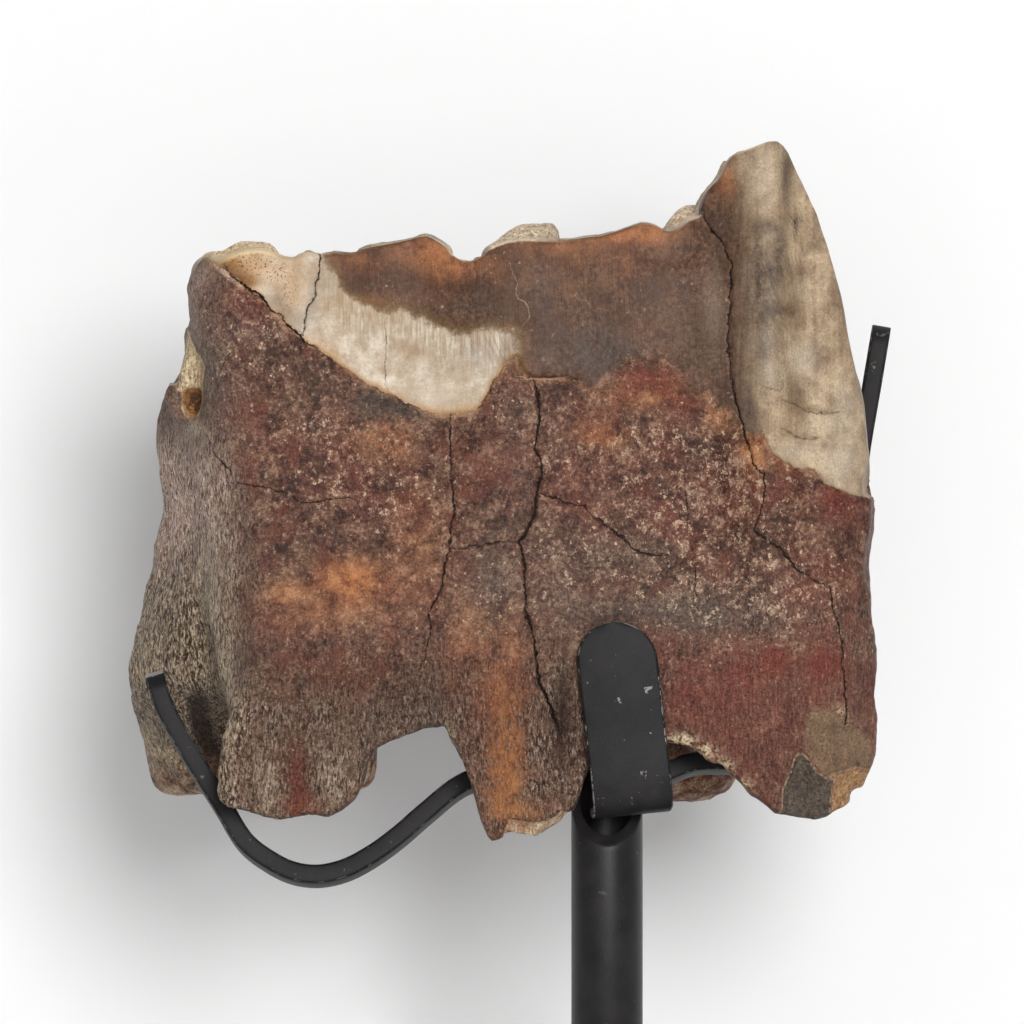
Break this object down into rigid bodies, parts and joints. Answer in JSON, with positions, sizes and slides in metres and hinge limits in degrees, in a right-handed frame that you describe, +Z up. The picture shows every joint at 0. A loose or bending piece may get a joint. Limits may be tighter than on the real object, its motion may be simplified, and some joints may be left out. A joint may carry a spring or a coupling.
{
  "type": "fossil woolly rhino tooth on a stand",
  "caption": "Fossil rhinoceros cheek tooth with broken crown edge and worn roots, cradled by a bent strip and a clip on a tube post with a square base.",
  "frame": {"origin": "centre of the base plate's underside, on the post's axis", "axes": "+Z up along the post, -Y towards the tooth's cheek side (the side the clip grips), X along the jaw"},
  "size_m": [0.084, 0.084, 0.1163],
  "materials": {
    "fossil_tooth": "satin",
    "black_paint": "satin"
  },
  "bodies": {
    "root": {"tooth": "fossil_tooth", "base": "black_paint", "post": "black_paint", "cradle": "black_paint", "front_clip": "black_paint"}
  },
  "joints": []
}
